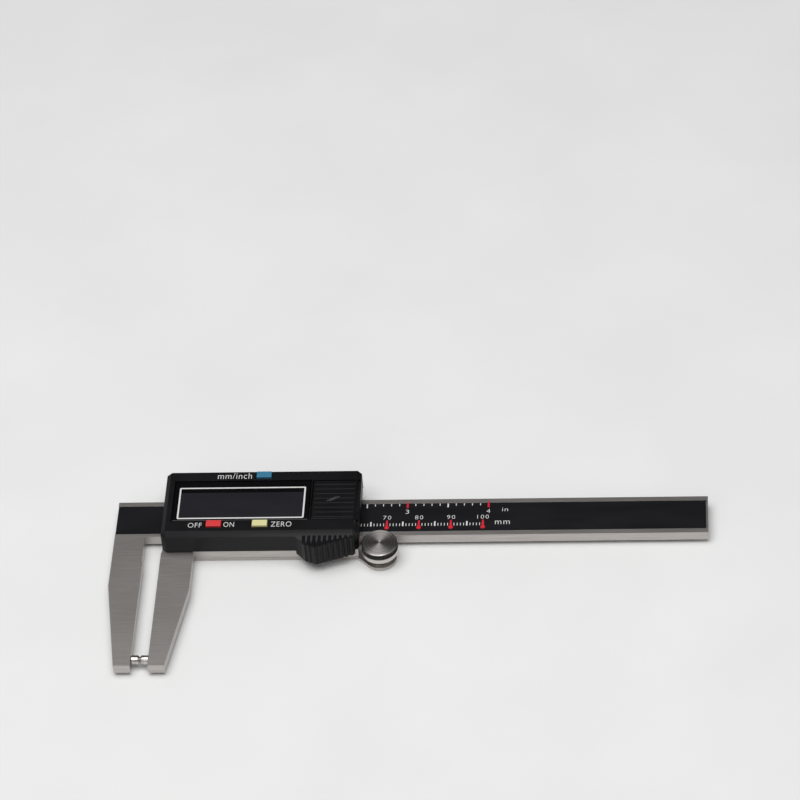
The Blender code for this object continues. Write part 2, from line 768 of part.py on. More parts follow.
def make_thumb_rest():
    """The peaked rest that stands out under the housing, steep on its left and sloping on its right."""
    inside = -(FRAME_EDGE + CLEAR)
    outline = [
        (REST_LEFT, inside),
        (REST_LEFT, -HOUSING_EDGE),
        (REST_SHOULDER_X, -HOUSING_EDGE - REST_SHOULDER_OUT),
        (REST_PEAK_X - SNUG, -HOUSING_EDGE - REST_PEAK_OUT),
        (REST_PEAK_X + CLEAR, -HOUSING_EDGE - REST_PEAK_OUT),
        (REST_RIGHT, -HOUSING_EDGE - CLEAR),
        (REST_RIGHT, inside),
    ]
    return plate("thumb_rest", outline, REST_BOTTOM, REST_TOP, None, CUTTERS)


def housing_cutters():
    """Named boxes that open the housing for the board, window, cover, contacts and bridges."""
    window_low = WINDOW_Y - WINDOW_WIDTH / 2
    window_high = WINDOW_Y + WINDOW_WIDTH / 2
    window_right = WINDOW_LEFT + WINDOW_LENGTH
    seat = HOUSING_TOP - WINDOW_SUNK - WINDOW_THICKNESS - SNUG
    room_left = HOUSING_LEFT + HOUSING_WALL
    above = HOUSING_TOP + REACH
    below = HOUSING_BOTTOM - REACH
    right = HOUSING_RIGHT + REACH
    groove_edge = COVER_EDGE + TONGUE_WIDTH + CLEAR
    groove_top = COVER_BOTTOM + TONGUE_THICKNESS + CLEAR
    slot_edge = CONTACT_WIDTH + 2 * CLEAR
    bridge_room = BRIDGE_EDGE + CLEAR
    return [
        ("room", (room_left, -HOUSING_INSIDE, below), (ROOM_RIGHT, HOUSING_INSIDE, FACE_UNDERSIDE)),
        (
            "window_seat",
            (WINDOW_LEFT - CLEAR, window_low - CLEAR, seat),
            (window_right + CLEAR, window_high + CLEAR, above),
        ),
        (
            "window_opening",
            (WINDOW_LEFT + WINDOW_RIM, LCD_Y - LCD_WIDTH / 2 + CLEAR, below),
            (window_right - WINDOW_RIM, LCD_Y + LCD_WIDTH / 2 - CLEAR, above),
        ),
        (
            "cover_way",
            (COVER_LEFT - CLEAR, WINDOW_Y - COVER_EDGE - CLEAR, COVER_BOTTOM - CLEAR),
            (right, WINDOW_Y + COVER_EDGE + CLEAR, above),
        ),
        (
            "cover_grooves",
            (COVER_LEFT - CLEAR, WINDOW_Y - groove_edge, COVER_BOTTOM - CLEAR),
            (right, WINDOW_Y + groove_edge, groove_top),
        ),
        (
            "contact_slot",
            (ROOM_RIGHT - CLEAR, WINDOW_Y - slot_edge, BAY_FLOOR),
            (CELL_X, WINDOW_Y + slot_edge, COVER_BOTTOM),
        ),
        (
            "left_bridge_room",
            (HOUSING_LEFT - REACH, -bridge_room, below),
            (LEFT_BRIDGE + CLEAR, bridge_room, BRIDGE_TOP + CLEAR),
        ),
        (
            "right_bridge_room",
            (FRAME_LENGTH - RIGHT_BRIDGE - CLEAR, -bridge_room, below),
            (right, bridge_room, BRIDGE_TOP + CLEAR),
        ),
    ]


def make_housing():
    housing = housing_block()
    join(housing, make_thumb_rest())
    for name, low, high in housing_cutters():
        cutter = box(name, low, high, None, CUTTERS)
        if name == "room":
            leave_bosses(cutter)
        cut(housing, cutter)
    bay = rod("cell_bay", CELL_DIAMETER / 2 + CLEAR, BAY_FLOOR, HOUSING_TOP, ROUND_STEPS, None, CUTTERS)
    bay.location = (CELL_X, WINDOW_Y, 0)
    cut(housing, bay)
    for name, (x, y) in BUTTON_PLACES.items():
        half_length = BUTTON_LENGTH / 2 + CLEAR
        half_width = BUTTON_WIDTH / 2 + CLEAR
        cutter = box(
            name + "_button_hole",
            (x - half_length, y - half_width, FACE_UNDERSIDE - REACH),
            (x + half_length, y + half_width, HOUSING_TOP + REACH),
            None,
            CUTTERS,
        )
        cut(housing, cutter)
    for number, (x, y) in enumerate(housing_screw_places(), 1):
        tip = BEAM_BACK + SNUG + SCREW_HEAD_HEIGHT + HOUSING_SCREW_LENGTH
        blind_hole(housing, f"boss_hole_{number}", x, y, HOUSING_BOTTOM - REACH, tip + SNUG)
    return housing


def leave_bosses(room):
    """Keeps the two screw bosses at the left end standing inside the room."""
    for side in (-1, 1):
        y_low, y_high = sorted((side * BOSS_EDGE, side * HOUSING_EDGE))
        boss = box(
            f"boss_{'low' if side < 0 else 'high'}",
            (HOUSING_LEFT - REACH, y_low, HOUSING_BOTTOM - 2 * REACH),
            (LEFT_BRIDGE + CLEAR, y_high, HOUSING_TOP + REACH),
            None,
            CUTTERS,
        )
        cut(room, boss)


def make_window():
    low = WINDOW_Y - WINDOW_WIDTH / 2
    top = HOUSING_TOP - WINDOW_SUNK
    return box(
        "display_window",
        (WINDOW_LEFT, low, top - WINDOW_THICKNESS),
        (WINDOW_LEFT + WINDOW_LENGTH, low + WINDOW_WIDTH, top),
        WINDOW_PLASTIC,
    )


def make_battery_cover():
    """A lid that slides out to the right on two tongues, its end chamfered like the housing."""
    outline = [
        (COVER_LEFT, COVER_BOTTOM),
        (HOUSING_RIGHT - (HOUSING_CHAMFER - COVER_THICKNESS), COVER_BOTTOM),
        (HOUSING_RIGHT - HOUSING_CHAMFER, HOUSING_TOP),
        (COVER_LEFT, HOUSING_TOP),
    ]
    cover = side_plate("battery_cover", outline, WINDOW_Y - COVER_EDGE, WINDOW_Y + COVER_EDGE, BLACK_PLASTIC)
    edge = COVER_EDGE + TONGUE_WIDTH
    tongues = box(
        "cover_tongues",
        (COVER_LEFT, WINDOW_Y - edge, COVER_BOTTOM),
        (HOUSING_RIGHT - HOUSING_CHAMFER, WINDOW_Y + edge, COVER_BOTTOM + TONGUE_THICKNESS),
        None,
        CUTTERS,
    )
    join(cover, tongues)
    return cover


def side_plate(name, outline, low, high, look):
    """A flat outline in X and Z, given thickness in Y from low to high."""
    made = plate(name, outline, -high, -low, look)
    made.matrix_world = Matrix.Rotation(math.pi / 2, 4, "X") @ made.matrix_world
    return made


# Display, board and battery


def make_display_parts():
    glass_low = (LCD_X - LCD_LENGTH / 2, LCD_Y - LCD_WIDTH / 2, LCD_TOP - LCD_THICKNESS)
    glass_high = (LCD_X + LCD_LENGTH / 2, LCD_Y + LCD_WIDTH / 2, LCD_TOP)
    glass = box("lcd_glass", glass_low, glass_high, LCD_GREY)
    inner = CLEAR
    outer = CLEAR + CARRIER_WALL
    carrier = box(
        "lcd_carrier",
        (glass_low[0] - outer, glass_low[1] - outer, BOARD_TOP + CARRIER_ABOVE_BOARD),
        (glass_high[0] + outer, glass_high[1] + outer, LCD_TOP),
        CARRIER_WHITE,
    )
    inside = box(
        "carrier_inside",
        (glass_low[0] - inner, glass_low[1] - inner, BOARD_TOP - REACH),
        (glass_high[0] + inner, glass_high[1] + inner, HOUSING_TOP),
        None,
        CUTTERS,
    )
    cut(carrier, inside)
    zebra = box(
        "zebra_strip",
        (glass_low[0], glass_high[1] - ZEBRA_WIDTH, BOARD_TOP + CLEAR),
        (glass_high[0], glass_high[1], glass_low[2] - CLEAR),
        RUBBER_GREY,
    )
    board = box(
        "circuit_board",
        (BOARD_LEFT, -BOARD_EDGE, BOARD_BOTTOM),
        (BOARD_RIGHT, BOARD_EDGE, BOARD_TOP),
        BOARD_GREEN,
    )
    half_chip = CHIP_SIZE / 2
    chip = box(
        "controller_chip",
        (LCD_X - half_chip, LCD_Y - half_chip, BOARD_TOP + SNUG),
        (LCD_X + half_chip, LCD_Y + half_chip, BOARD_TOP + SNUG + CHIP_HEIGHT),
        CHIP_BLACK,
    )
    return [glass, carrier, zebra, board, chip]


def make_button(name, x, y):
    """A cap that stands through the face, a wider foot that holds it in, and a stem over its rubber pad."""
    top = HOUSING_TOP + BUTTON_PROUD
    foot_top = FACE_UNDERSIDE - CLEAR
    foot_bottom = foot_top - FLANGE_THICKNESS
    stem_bottom = BOARD_TOP + SNUG + PAD_HEIGHT + BUTTON_TRAVEL + SNUG
    half_length = BUTTON_LENGTH / 2
    half_width = BUTTON_WIDTH / 2
    outline = [
        (-half_length + BUTTON_ROUND, top),
        (-half_length, top - BUTTON_ROUND),
        (-half_length, foot_top),
        (-half_length - BUTTON_FLANGE, foot_top),
        (-half_length - BUTTON_FLANGE, foot_bottom),
        (-half_length / 2, foot_bottom),
        (-half_length / 2, stem_bottom),
        (half_length / 2, stem_bottom),
        (half_length / 2, foot_bottom),
        (half_length + BUTTON_FLANGE, foot_bottom),
        (half_length + BUTTON_FLANGE, foot_top),
        (half_length, foot_top),
        (half_length, top - BUTTON_ROUND),
        (half_length - BUTTON_ROUND, top),
    ]
    button = side_plate(name + "_button", outline, -half_width, half_width, BUTTON_COLOURS[name])
    button.location.x = x
    button.location.y = y
    pad = turned(
        name + "_button_pad",
        [
            (0, PAD_HEIGHT),
            (half_width / 2, PAD_HEIGHT),
            (half_width - SNUG, 0),
            (0, 0),
        ],
        SCREW_STEPS,
        RUBBER_GREY,
    )
    pad.location = (x, y, BOARD_TOP + SNUG)
    return button, pad


def make_cell():
    """A button cell standing on its smaller cap, with its can up."""
    radius = CELL_DIAMETER / 2
    profile = [
        (0, CELL_HEIGHT),
        (radius - CELL_CAP / 2, CELL_HEIGHT),
        (radius, CELL_HEIGHT - CELL_CAP / 2),
        (radius, CELL_CAP),
        (radius - CELL_CAP, CELL_CAP),
        (radius - CELL_CAP, 0),
        (0, 0),
    ]
    cell = turned("coin_cell", profile, ROUND_STEPS, TURNED_STEEL)
    cell.location = (CELL_X, WINDOW_Y, CELL_BOTTOM)
    return cell


def make_contacts():
    """Two bent strips from the board: one stands beside the cell's can, the other lies under its cap."""
    foot_left = BOARD_RIGHT - CONTACT_FOOT
    foot_bottom = BOARD_TOP + SNUG
    foot_top = foot_bottom + CONTACT_THICKNESS
    upright_right = CELL_X - CELL_DIAMETER / 2 - SNUG
    upright_left = upright_right - CONTACT_THICKNESS
    positive = side_plate(
        "battery_contact_positive",
        [
            (foot_left, foot_bottom),
            (upright_right, foot_bottom),
            (upright_right, COVER_BOTTOM - 2 * CLEAR),
            (upright_left, COVER_BOTTOM - 2 * CLEAR),
            (upright_left, foot_top),
            (foot_left, foot_top),
        ],
        WINDOW_Y + CLEAR,
        WINDOW_Y + CLEAR + CONTACT_WIDTH,
        GOLD_PLATE,
    )
    riser_left = BOARD_RIGHT + SNUG
    tongue_bottom = BAY_FLOOR + SNUG
    tongue_top = tongue_bottom + CONTACT_THICKNESS
    negative = side_plate(
        "battery_contact_negative",
        [
            (foot_left, foot_bottom),
            (riser_left, foot_bottom),
            (riser_left, tongue_bottom),
            (CELL_X + CONTACT_WIDTH, tongue_bottom),
            (CELL_X + CONTACT_WIDTH, tongue_top),
            (riser_left + CONTACT_THICKNESS, tongue_top),
            (riser_left + CONTACT_THICKNESS, foot_top),
            (foot_left, foot_top),
        ],
        WINDOW_Y - CLEAR - CONTACT_WIDTH,
        WINDOW_Y - CLEAR,
        GOLD_PLATE,
    )
    return [positive, negative]


# Assembly


def carrier_empty(name, parent, location):
    made = bpy.data.objects.new(name, None)
    PARTS.objects.link(made)
    made.parent = parent
    made.location = location
    return made


def build():
    fixed = [make_beam(), *make_groove_strips(), *make_end_stop()]
    fixed.append(make_contact_pin("fixed_contact_pin", -JAW_GAP, -1))
    sliding = [make_slider_frame(), make_gib(), make_lock_screw(), make_back_plate()]
    sliding.append(make_contact_pin("moving_contact_pin", 0, 1))
    for number, x in enumerate(set_screw_places(), 1):
        sliding.append(make_set_screw(f"gib_screw_{number}", x))
    for number, (x, y) in enumerate(plate_screw_places(), 1):
        screw = make_screw(f"back_plate_screw_{number}", PLATE_SCREW_LENGTH)
        screw.location = (x, y, PLATE_BOTTOM + SNUG)
        sliding.append(screw)
    for number, (x, y) in enumerate(housing_screw_places(), 1):
        screw = make_screw(f"housing_screw_{number}", HOUSING_SCREW_LENGTH)
        screw.location = (x, y, BEAM_BACK + SNUG)
        sliding.append(screw)
    sliding += [make_housing(), make_window(), make_battery_cover(), make_cell()]
    sliding += [*make_display_parts(), *make_contacts()]
    for name, (x, y) in BUTTON_PLACES.items():
        sliding += make_button(name, x, y)
    sliding += [make_roller(), make_axle()]
    root = carrier_empty("caliper_origin", None, (-MIDDLE_X, -MIDDLE_Y, -PLATE_BOTTOM))
    slider = carrier_empty("slider_carriage", root, (0, 0, 0))
    for piece in fixed:
        piece.parent = root
    for piece in sliding:
        piece.parent = slider
    for cutter in CUTTERS.objects:
        if cutter.parent is None:
            cutter.parent = root


build()
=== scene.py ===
import math

import bmesh
import bpy
from mathutils import Matrix, Quaternion, Vector


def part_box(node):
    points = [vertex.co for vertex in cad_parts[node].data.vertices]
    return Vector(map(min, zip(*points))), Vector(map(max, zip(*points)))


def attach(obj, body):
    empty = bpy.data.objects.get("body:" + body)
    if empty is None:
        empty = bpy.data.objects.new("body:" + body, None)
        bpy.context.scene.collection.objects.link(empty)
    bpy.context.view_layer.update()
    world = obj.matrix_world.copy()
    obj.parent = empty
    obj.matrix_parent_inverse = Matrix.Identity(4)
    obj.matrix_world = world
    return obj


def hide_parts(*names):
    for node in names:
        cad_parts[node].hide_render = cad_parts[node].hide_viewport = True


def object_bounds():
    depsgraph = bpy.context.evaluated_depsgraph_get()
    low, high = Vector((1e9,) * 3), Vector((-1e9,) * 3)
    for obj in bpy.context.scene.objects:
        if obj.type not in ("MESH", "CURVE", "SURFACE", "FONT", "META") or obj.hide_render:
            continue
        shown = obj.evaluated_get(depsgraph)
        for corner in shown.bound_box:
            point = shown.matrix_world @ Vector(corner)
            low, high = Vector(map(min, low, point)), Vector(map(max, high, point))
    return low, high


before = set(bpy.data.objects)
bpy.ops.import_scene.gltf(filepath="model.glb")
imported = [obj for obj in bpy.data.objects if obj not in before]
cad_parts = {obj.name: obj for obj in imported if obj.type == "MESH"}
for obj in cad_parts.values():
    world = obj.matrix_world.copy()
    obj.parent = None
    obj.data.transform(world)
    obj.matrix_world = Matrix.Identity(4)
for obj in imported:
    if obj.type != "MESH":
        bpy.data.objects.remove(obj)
cad_low, cad_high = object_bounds()
scene = bpy.context.scene


# Table top. The tool lies on one wide sheet of pale matt laminate that runs far past the view. A pressed
# laminate is nearly even: it shows only a faint wide mottling and no gloss.
MM = 0.001
TABLE_SIZE = 4.0


def srgb(code):
    """A #rrggbb colour as linear red, green, blue and alpha."""
    channels = [int(code[i:i + 2], 16) / 255 for i in (1, 3, 5)]
    return [c / 12.92 if c <= 0.04045 else ((c + 0.055) / 1.055) ** 2.4 for c in channels] + [1.0]


def add(tree, kind, sockets=None, **settings):
    """Adds a node. Each socket, by name or number, takes a value or is linked from another node's output."""
    made = tree.nodes.new(kind)
    for name, value in settings.items():
        setattr(made, name, value)
    for key, value in (sockets or {}).items():
        if isinstance(value, bpy.types.NodeSocket):
            tree.links.new(value, made.inputs[key])
        else:
            made.inputs[key].default_value = value
    return made


def start_finish(name, sockets):
    """A material and its shader, whose own sockets take what is the same all over."""
    material = bpy.data.materials.new(name)
    material.use_nodes = True
    shader = material.node_tree.nodes["Principled BSDF"]
    for key, value in sockets.items():
        shader.inputs[key.replace("_", " ")].default_value = value
    return material, material.node_tree, shader


def mottled(name, patch, dark, light, roughness, grain, depth, **sockets):
    """A finish that wanders between two colours and two roughnesses over patches of this size, under bumps
    of the grain's size and this depth. Sizes are in millimetres along X, Y and Z."""
    material, tree, shader = start_finish(name, sockets)
    place = add(tree, "ShaderNodeTexCoord").outputs["Object"]
    noises = []
    for size in (patch, grain):
        scale = [1 / (side * MM) for side in size]
        spread = add(tree, "ShaderNodeMapping", {"Vector": place, "Scale": scale}).outputs["Vector"]
        noise = {"Vector": spread, "Scale": 1.0, "Detail": 3.0}
        noises.append(add(tree, "ShaderNodeTexNoise", noise).outputs["Fac"])
    patches, bumps = noises
    share = add(tree, "ShaderNodeMapRange", {"Value": patches, "From Min": 0.3, "From Max": 0.7}).outputs[0]
    colour = add(tree, "ShaderNodeMix", {0: share, 6: srgb(dark), 7: srgb(light)}, data_type="RGBA")
    span = {"Value": patches, "To Min": roughness[0], "To Max": roughness[1]}
    gloss = add(tree, "ShaderNodeMapRange", span)
    relief = add(tree, "ShaderNodeBump", {"Height": bumps, "Distance": depth * MM})
    tree.links.new(colour.outputs[2], shader.inputs["Base Color"])
    tree.links.new(gloss.outputs[0], shader.inputs["Roughness"])
    tree.links.new(relief.outputs["Normal"], shader.inputs["Normal"])
    return material


def stand_sheet(name, look, size, place):
    """A flat sheet of this width and height, which is no part of the tool."""
    sheet = bmesh.new()
    spread = Matrix.Diagonal((size[0], size[1], 1.0, 1.0))
    bmesh.ops.create_grid(sheet, x_segments=1, y_segments=1, size=0.5, matrix=place @ spread)
    mesh = bpy.data.meshes.new(name)
    sheet.to_mesh(mesh)
    sheet.free()
    mesh.materials.append(look)
    made = bpy.data.objects.new(name, mesh)
    scene.collection.objects.link(made)
    return made


laminate = mottled("pressed_matt_laminate", (60, 60, 60), "#e3e3e2", "#e8e8e7", (0.72, 0.8), (3, 3, 3), 0.01)
stand_sheet("table_top", laminate, (TABLE_SIZE, TABLE_SIZE), Matrix.Translation((0, 0, cad_low.z)))


# Camera. A long lens looks down at the tool from the front at 44 degrees, rolled a little to the right.
# Places are given in beam coordinates: millimetres along the beam from the closed slider's left end,
# across it from its middle line, and up from its front face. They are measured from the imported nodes.
strip_low, strip_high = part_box("stator_strip")
ZERO = Vector((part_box("slider_frame")[0].x, (strip_low.y + strip_high.y) / 2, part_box("beam")[1].z))


def at(x, y, z):
    """A point in beam coordinates as a place in the frame."""
    return ZERO + Vector((x, y, z)) * MM


CAMERA_PLACE = at(169.6, -869.1, 893.9)
CAMERA_TARGET = at(71.6, 52.7, 0)
CAMERA_ROLL = math.radians(-4.97)
lens = bpy.data.cameras.new("camera")
lens.lens = 180
lens.sensor_width = 36
lens.clip_start = 0.05
lens.clip_end = 20
camera = bpy.data.objects.new("camera", lens)
camera.location = CAMERA_PLACE
camera.rotation_mode = "QUATERNION"
aim = (CAMERA_TARGET - CAMERA_PLACE).to_track_quat("-Z", "Y")
camera.rotation_quaternion = aim @ Quaternion((0, 0, 1), CAMERA_ROLL)
scene.collection.objects.link(camera)
scene.camera = camera


# Lamps. One broad softbox hangs over the tool a little towards the viewer, and a narrower one lights the
# jaws from the front left. A black paper card stands close behind the tool, where only reflections see
# it: it keeps the plastic deep, and shades the steel towards the beam.
def softbox(name, place, size, power):
    """A rectangular lamp that faces the middle of the tool. Its place and size are in metres."""
    lamp = bpy.data.lights.new(name, "AREA")
    lamp.shape = "RECTANGLE"
    lamp.size, lamp.size_y = size
    lamp.energy = power
    stand = bpy.data.objects.new(name, lamp)
    stand.location = place
    stand.rotation_mode = "QUATERNION"
    stand.rotation_quaternion = (-Vector(place)).to_track_quat("-Z", "Y")
    scene.collection.objects.link(stand)


softbox("overhead_softbox", (-0.1, -0.2, 1.3), (1.4, 1.2), 19)
softbox("front_softbox", (-0.5, -1.0, 0.55), (0.8, 0.5), 1.5)
world = bpy.data.worlds.new("dim_room")
world.use_nodes = True
room = world.node_tree.nodes["Background"]
room.inputs["Color"].default_value = srgb("#f2f4f7")
room.inputs["Strength"].default_value = 0.2
scene.world = world
scene.view_settings.view_transform = "Standard"

CARD_MIDDLE = at(50, 46, 56)
CARD_SIZE = (0.36, 0.118)
card_paper = mottled("black_card_paper", (8, 8, 8), "#1c1c1e", "#222224", (0.85, 0.95), (1, 1, 1), 0.02)
upright = Matrix.Translation(CARD_MIDDLE) @ Matrix.Rotation(math.pi / 2, 4, "X")
card = stand_sheet("black_card", card_paper, CARD_SIZE, upright)
card.visible_camera = False
card.visible_diffuse = False
card.visible_shadow = False


# Beam. One bar of stainless steel, milled with a shallow channel along its front, with the fixed jaw left
# standing at its left end. Its faces are surface ground, which leaves a fine grain along the bar and
# across the jaw, and its edges are broken by hand.
EDGE_BREAK = 0.15
SHARP = math.radians(30)


def round_edges(shape, edges, width, segments=2):
    """Rounds edges over this width in millimetres."""
    bmesh.ops.bevel(
        shape, geom=list(edges), offset=width * MM, offset_type="OFFSET", segments=segments,
        profile=0.5, affect="EDGES", clamp_overlap=True, material=-1,
    )


def merged(name):
    """A copy of a node's shape, with its triangles merged into whole faces."""
    shape = bmesh.new()
    shape.from_mesh(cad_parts[name].data)
    bmesh.ops.remove_doubles(shape, verts=shape.verts, dist=1e-6)
    bmesh.ops.dissolve_limit(shape, angle_limit=math.radians(1), verts=shape.verts, edges=shape.edges)
    return shape


def refined(name, width, segments=2):
    """A copy of a node's shape with its sharp edges rounded."""
    shape = merged(name)
    sharp = [e for e in shape.edges if len(e.link_faces) == 2 and e.calc_face_angle() > SHARP]
    round_edges(shape, sharp, width, segments)
    return shape


def make_piece(name, shape, look, body, slot, *stands_for, crease=35):
    """Puts the finished shape in the scene, on its body, with its finish and the nodes it stands for."""
    mesh = bpy.data.meshes.new(name)
    shape.to_mesh(mesh)
    shape.free()
    mesh.materials.append(look)
    mesh.shade_smooth()
    mesh.set_sharp_from_angle(angle=math.radians(crease))
    piece = bpy.data.objects.new(name, mesh)
    scene.collection.objects.link(piece)
    piece.modifiers.new("flat_faces_stay_flat", "WEIGHTED_NORMAL").keep_sharp = True
    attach(piece, body)
    if stands_for:
        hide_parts(*stands_for)
    return piece


# Surface-ground stainless steel: a satin grey whose fine lines run along X and catch the light in streaks.
# A 46 grit wheel leaves lines about 0.1 mm wide. They are drawn 0.25 mm wide, because finer ones don't
# show. Wider, fainter clouds are where the wheel cut a little deeper.
ground_steel, tree, shader = start_finish("ground_stainless_steel", {"Metallic": 1.0})
place = add(tree, "ShaderNodeTexCoord").outputs["Object"]
LINE_SCALE = [1 / (side * MM) for side in (9, 0.25, 0.25)]
CLOUD_SCALE = [1 / (side * MM) for side in (30, 12, 12)]
spread = add(tree, "ShaderNodeMapping", {"Vector": place, "Scale": LINE_SCALE}).outputs["Vector"]
lines = add(tree, "ShaderNodeTexNoise", {"Vector": spread, "Scale": 1.0, "Detail": 3.0}).outputs["Fac"]
spread = add(tree, "ShaderNodeMapping", {"Vector": place, "Scale": CLOUD_SCALE}).outputs["Vector"]
clouds = add(tree, "ShaderNodeTexNoise", {"Vector": spread, "Scale": 1.0}).outputs["Fac"]
share = add(tree, "ShaderNodeMapRange", {"Value": lines, "From Min": 0.25, "From Max": 0.75}).outputs[0]
colours = {0: share, 6: srgb("#b2adaa"), 7: srgb("#c8c3bf")}
colour = add(tree, "ShaderNodeMix", colours, data_type="RGBA").outputs[2]
both = add(tree, "ShaderNodeMath", {0: lines, 1: clouds}, operation="ADD").outputs[0]
gloss = add(tree, "ShaderNodeMapRange", {"Value": both, "From Max": 2.0, "To Min": 0.36, "To Max": 0.46})
relief = add(tree, "ShaderNodeBump", {"Height": lines, "Distance": 0.003 * MM, "Strength": 0.5})
tree.links.new(colour, shader.inputs["Base Color"])
tree.links.new(gloss.outputs[0], shader.inputs["Roughness"])
tree.links.new(relief.outputs["Normal"], shader.inputs["Normal"])

make_piece("beam_and_fixed_jaw", refined("beam", EDGE_BREAK), ground_steel, "beam", "ground_steel", "beam")


# Measuring strip. A glass-epoxy strip with a row of gold-plated copper plates is glued in the channel's
# floor. The printed scale covers it, so only its edge can be seen, where the plates alternate bright
# and dull.
def dress(look, *names):
    """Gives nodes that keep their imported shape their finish."""
    for name in names:
        for material_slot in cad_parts[name].material_slots:
            material_slot.material = look


gold_plate = mottled(
    "gold_plated_copper", (1.3, 30, 30), "#8c713a", "#e0c27a", (0.25, 0.4), (0.5, 0.5, 0.5), 0.003,
    Metallic=1.0,
)
dress(gold_plate, "stator_strip")


# Scale label. A black polyester film, printed and laid over the measuring strip below the channel's rims.
# It is satin, with a faint orange peel from the lacquer over the print.
film = mottled(
    "lacquered_polyester_film", (25, 6, 6), "#111114", "#18181c", (0.28, 0.42), (0.6, 0.6, 0.6), 0.001,
    Specular_IOR_Level=0.35,
)
dress(film, "scale_label")


# Scale printing. White and red inks are screened on the film: millimetres along the lower edge with a
# figure at each ten, and tenths of an inch hanging from the upper edge. The ink stands 0.02 mm proud.
# A millimetre tick is its half width, foot and tip. An inch tick is its half width and length.
INK = 0.02
SCALE_END = 100
INCH = 25.4


def reach(name):
    """A node's lowest and highest corners in beam coordinates."""
    return [(corner - ZERO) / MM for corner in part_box(name)]


label_high = reach("scale_label")[1]
LABEL_TOP = label_high.z
STEEL_TOP = reach("beam")[1].z


def block(shape, low, high, rounding=0.0, segments=2):
    """A box between two corners in beam coordinates, with its edges rounded. It gives back its points."""
    middle = at(*[(a + b) / 2 for a, b in zip(low, high)])
    size = Matrix.Diagonal([(b - a) * MM for a, b in zip(low, high)] + [1.0])
    made = bmesh.ops.create_cube(shape, size=1.0, matrix=Matrix.Translation(middle) @ size)["verts"]
    if rounding:
        round_edges(shape, {e for v in made for e in v.link_edges}, rounding, segments)
    return made


def thicken(shape, faces):
    """Gives flat faces the ink's thickness and closes them below."""
    grown = bmesh.ops.extrude_face_region(shape, geom=faces, use_keep_orig=True)["geom"]
    tops = [part for part in grown if isinstance(part, bmesh.types.BMVert)]
    bmesh.ops.translate(shape, verts=tops, vec=(0, 0, INK * MM))
    bmesh.ops.recalc_face_normals(shape, faces=shape.faces)


def teardrop(shape, x, foot, tip, width):
    """A mark with a round foot that narrows to a straight stem."""
    radius = width / 2
    turns = [math.radians(a) for a in range(-190, 11, 20)]
    edge = [(x + radius * math.cos(a), foot + radius * (1 + math.sin(a))) for a in turns]
    stem = [(x + 0.4, foot + 1.9 * radius), (x + 0.27, tip), (x - 0.27, tip), (x - 0.4, foot + 1.9 * radius)]
    mark = bmesh.new()
    face = mark.faces.new([mark.verts.new(at(px, py, LABEL_TOP)) for px, py in edge + stem])
    thicken(mark, [face])
    flat = bpy.data.meshes.new("teardrop")
    mark.to_mesh(flat)
    mark.free()
    shape.from_mesh(flat)
    bpy.data.meshes.remove(flat)


def lettering(shape, words, low, high, bottom, thinning, spacing=1.0):
    """Raised letters that fill the given rectangle in beam coordinates. Thinning takes from their strokes."""
    text = bpy.data.curves.new("lettering", "FONT")
    text.body = words
    text.offset = -thinning
    text.space_character = spacing
    text.resolution_u = 4
    holder = bpy.data.objects.new("lettering", text)
    scene.collection.objects.link(holder)
    bpy.context.view_layer.update()
    flat = bpy.data.meshes.new_from_object(holder.evaluated_get(bpy.context.evaluated_depsgraph_get()))
    bpy.data.objects.remove(holder)
    xs = [v.co.x for v in flat.vertices]
    ys = [v.co.y for v in flat.vertices]
    width = (high[0] - low[0]) * MM / (max(xs) - min(xs))
    height = (high[1] - low[1]) * MM / (max(ys) - min(ys))
    home = Matrix.Translation(at(low[0], low[1], bottom)) @ Matrix.Diagonal((width, height, 1.0, 1.0))
    flat.transform(home @ Matrix.Translation((-min(xs), -min(ys), 0)))
    letters = bmesh.new()
    letters.from_mesh(flat)
    bmesh.ops.remove_doubles(letters, verts=letters.verts, dist=1e-7)
    thicken(letters, letters.faces[:])
    letters.to_mesh(flat)
    letters.free()
    shape.from_mesh(flat)
    bpy.data.meshes.remove(flat)


def screen_ink(name, dark, light):
    """Screen-printing ink: matt and nearly even, with the faint mottling of the mesh it came through."""
    return mottled(
        name, (0.8, 0.8, 0.8), dark, light, (0.4, 0.5), (0.3, 0.3, 0.3), 0.002, Specular_IOR_Level=0.3
    )


white_ink = screen_ink("white_screen_ink", "#cfcfcd", "#dcdcda")
red_ink = screen_ink("red_screen_ink", "#c01c2c", "#d22836")
FIGURE_FOOT = -0.8
FIGURE_TOP = 0.85
FIGURE_HALF = 1.25
HUNDRED_HALF = 1.8
FIVE_TICK = (0.24, -3.7, -1.8)
ONE_TICK = (0.11, -3.65, -2.5)
TENTHS = 40
HALF_INCH_TICK = (0.22, 1.65)
TENTH_TICK = (0.13, 0.95)
INCH_MARK_HALF = 0.3
INCH_MARK_FOOT = 4.1
INCH_MARK_GAP = 0.15
INCH_MARK_TOP = 6.6
INCH_FIGURE = (1.65, 3.35)
INCH_FIGURE_HALF = 0.55
INCH_ONE_HALF = 0.2
THINNED = 0.012
white_marks = bmesh.new()
red_marks = bmesh.new()
for step in range(SCALE_END + 1):
    if step % 10 == 0:
        teardrop(red_marks, step, -5.05, -1.25, 1.5)
        if step:
            half = HUNDRED_HALF if step == SCALE_END else FIGURE_HALF
            box = (step - half, FIGURE_FOOT), (step + half, FIGURE_TOP)
            lettering(white_marks, str(step), *box, LABEL_TOP, THINNED, 1.25)
    else:
        half, foot, tip = ONE_TICK if step % 5 else FIVE_TICK
        block(white_marks, (step - half, foot, LABEL_TOP), (step + half, tip, LABEL_TOP + INK))
label_edge = label_high.y
